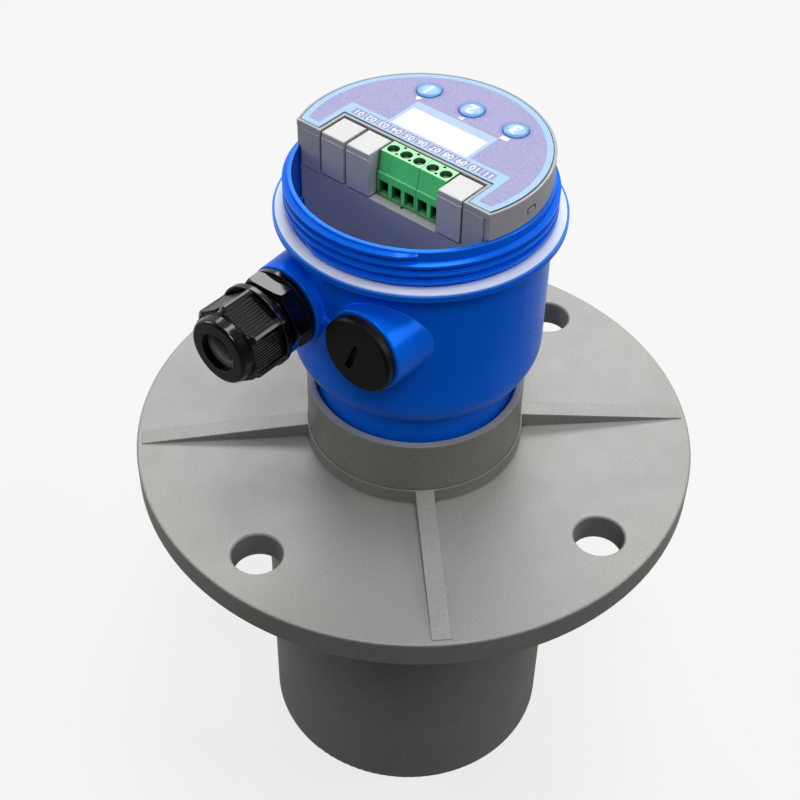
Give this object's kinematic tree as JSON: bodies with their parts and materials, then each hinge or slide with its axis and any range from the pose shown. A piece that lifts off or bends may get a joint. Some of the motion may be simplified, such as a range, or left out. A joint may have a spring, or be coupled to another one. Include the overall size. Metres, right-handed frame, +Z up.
{
  "type": "ultrasonic level sensor",
  "caption": "Flange mounted ultrasonic level sensor: grey cup shaped transducer, bolted plate, blue round terminal housing without its cover, cable gland, plug and a keypad display module.",
  "frame": {"origin": "centre of the mounting flange's underside, its sealing face, on the sensor's axis", "axes": "+Z up the sensor's axis from the transducer to the display; +X along the terminal row from position 1 to 11; the cable entries face -Y"},
  "size_m": [0.196, 0.196, 0.2626],
  "materials": {
    "flange_grey": "moulded polypropylene with a fine grain, scuffed",
    "face_grey": "filled resin matching layer, smooth",
    "ceramic": "fired ceramic with silvered faces",
    "filled_resin": "metal filled casting resin",
    "foam": "closed cell foam",
    "resin": "cast resin",
    "lead_grey": "cable sheath",
    "seal_black": "matt rubber",
    "seal_grey": "matt rubber",
    "housing_blue": "semi gloss moulded plastic",
    "gasket_white": "smooth silicone",
    "gland_black": "satin moulded nylon",
    "module_grey": "matt moulded plastic",
    "label": "printed film, satin",
    "window": "clear, polished",
    "lcd": "reflective display glass",
    "backlight": "translucent white",
    "board_green": "glass fibre board with solder mask",
    "switch_black": "moulded black plastic",
    "ferrite": "ferrite with tape",
    "can": "sleeved can",
    "socket_white": "natural nylon",
    "terminal_green": "moulded polyamide",
    "tin": "tinned strip",
    "steel": "zinc plated",
    "key_blue": "smooth silicone keys"
  },
  "bodies": {
    "sensor": {"mounting_flange": "flange_grey", "sensor_body": "flange_grey", "radiating_face": "face_grey", "piezo_disc": "ceramic", "backing_block": "filled_resin", "decoupling_sleeve": "foam", "potting": "resin", "temperature_probe": "steel", "transducer_lead": "lead_grey", "neck_ring": "seal_black", "housing": "housing_blue", "cover_gasket": "gasket_white", "gland_gasket": "seal_black", "gland_body": "gland_black", "gland_seal": "seal_grey", "plug_gasket": "seal_black", "module_case": "module_grey", "module_base": "module_grey", "label_film": "label", "display_window": "window", "lcd_glass": "lcd", "lcd_backlight": "backlight", "display_board": "board_green", "switch_bodies": "switch_black", "board_header": "switch_black", "main_board": "board_green", "board_screws": "steel", "controller_chip": "switch_black", "drive_transformer": "ferrite", "storage_capacitor": "can", "lead_socket": "socket_white", "terminal_block_3_way": "terminal_green", "terminal_block_2_way": "terminal_green", "terminal_contacts": "tin", "blank_cover_1": "module_grey", "blank_cover_2": "module_grey", "blank_cover_3": "module_grey"},
    "key_1_body": {"key_1": "key_blue", "switch_plunger_1": "switch_black"},
    "key_2_body": {"key_2": "key_blue", "switch_plunger_2": "switch_black"},
    "key_3_body": {"key_3": "key_blue", "switch_plunger_3": "switch_black"},
    "screw_1_body": {"terminal_screw_1": "steel"},
    "clamp_1_body": {"wire_clamp_1": "steel"},
    "screw_2_body": {"terminal_screw_2": "steel"},
    "clamp_2_body": {"wire_clamp_2": "steel"},
    "screw_3_body": {"terminal_screw_3": "steel"},
    "clamp_3_body": {"wire_clamp_3": "steel"},
    "screw_4_body": {"terminal_screw_4": "steel"},
    "clamp_4_body": {"wire_clamp_4": "steel"},
    "screw_5_body": {"terminal_screw_5": "steel"},
    "clamp_5_body": {"wire_clamp_5": "steel"},
    "gland_nut_body": {"gland_nut": "gland_black"},
    "blanking_plug_body": {"blanking_plug": "gland_black"}
  },
  "joints": [
    {"name": "key_1_press", "type": "slide", "parent": "sensor", "child": "key_1_body", "axis": [0, 0, -1], "range_m": [0, 0.0005], "stiffness_N_per_m": 800, "springref_m": -0.0003},
    {"name": "key_2_press", "type": "slide", "parent": "sensor", "child": "key_2_body", "axis": [0, 0, -1], "range_m": [0, 0.0005], "stiffness_N_per_m": 800, "springref_m": -0.0003},
    {"name": "key_3_press", "type": "slide", "parent": "sensor", "child": "key_3_body", "axis": [0, 0, -1], "range_m": [0, 0.0005], "stiffness_N_per_m": 800, "springref_m": -0.0003},
    {"name": "terminal_screw_1_turn", "type": "hinge", "parent": "sensor", "child": "screw_1_body", "pos_m": [-0.00508, -0.00765, 0.1249], "axis": [0, 0, -1], "range_deg": [0, 1440]},
    {"name": "wire_clamp_1_rise", "type": "slide", "parent": "sensor", "child": "clamp_1_body", "axis": [0, 0, 1], "range_m": [0, 0.002]},
    {"name": "terminal_screw_2_turn", "type": "hinge", "parent": "sensor", "child": "screw_2_body", "pos_m": [0, -0.00765, 0.1249], "axis": [0, 0, -1], "range_deg": [0, 1440]},
    {"name": "wire_clamp_2_rise", "type": "slide", "parent": "sensor", "child": "clamp_2_body", "axis": [0, 0, 1], "range_m": [0, 0.002]},
    {"name": "terminal_screw_3_turn", "type": "hinge", "parent": "sensor", "child": "screw_3_body", "pos_m": [0.00508, -0.00765, 0.1249], "axis": [0, 0, -1], "range_deg": [0, 1440]},
    {"name": "wire_clamp_3_rise", "type": "slide", "parent": "sensor", "child": "clamp_3_body", "axis": [0, 0, 1], "range_m": [0, 0.002]},
    {"name": "terminal_screw_4_turn", "type": "hinge", "parent": "sensor", "child": "screw_4_body", "pos_m": [0.01016, -0.00765, 0.1249], "axis": [0, 0, -1], "range_deg": [0, 1440]},
    {"name": "wire_clamp_4_rise", "type": "slide", "parent": "sensor", "child": "clamp_4_body", "axis": [0, 0, 1], "range_m": [0, 0.002]},
    {"name": "terminal_screw_5_turn", "type": "hinge", "parent": "sensor", "child": "screw_5_body", "pos_m": [0.01524, -0.00765, 0.1249], "axis": [0, 0, -1], "range_deg": [0, 1440]},
    {"name": "wire_clamp_5_rise", "type": "slide", "parent": "sensor", "child": "clamp_5_body", "axis": [0, 0, 1], "range_m": [0, 0.002]},
    {"name": "gland_nut_turn", "type": "hinge", "parent": "sensor", "child": "gland_nut_body", "pos_m": [-0.0168, -0.065, 0.084], "axis": [0, -1, 0], "range_deg": [-720, 1440]},
    {"name": "blanking_plug_turn", "type": "hinge", "parent": "sensor", "child": "blanking_plug_body", "pos_m": [0.0155, -0.045, 0.084], "axis": [0, -1, 0], "range_deg": [0, 1800]}
  ],
  "couplings": [
    {"joint": "terminal_screw_1_turn", "follows": "wire_clamp_1_rise", "rad_per_m": 12566},
    {"joint": "terminal_screw_2_turn", "follows": "wire_clamp_2_rise", "rad_per_m": 12566},
    {"joint": "terminal_screw_3_turn", "follows": "wire_clamp_3_rise", "rad_per_m": 12566},
    {"joint": "terminal_screw_4_turn", "follows": "wire_clamp_4_rise", "rad_per_m": 12566},
    {"joint": "terminal_screw_5_turn", "follows": "wire_clamp_5_rise", "rad_per_m": 12566}
  ]
}
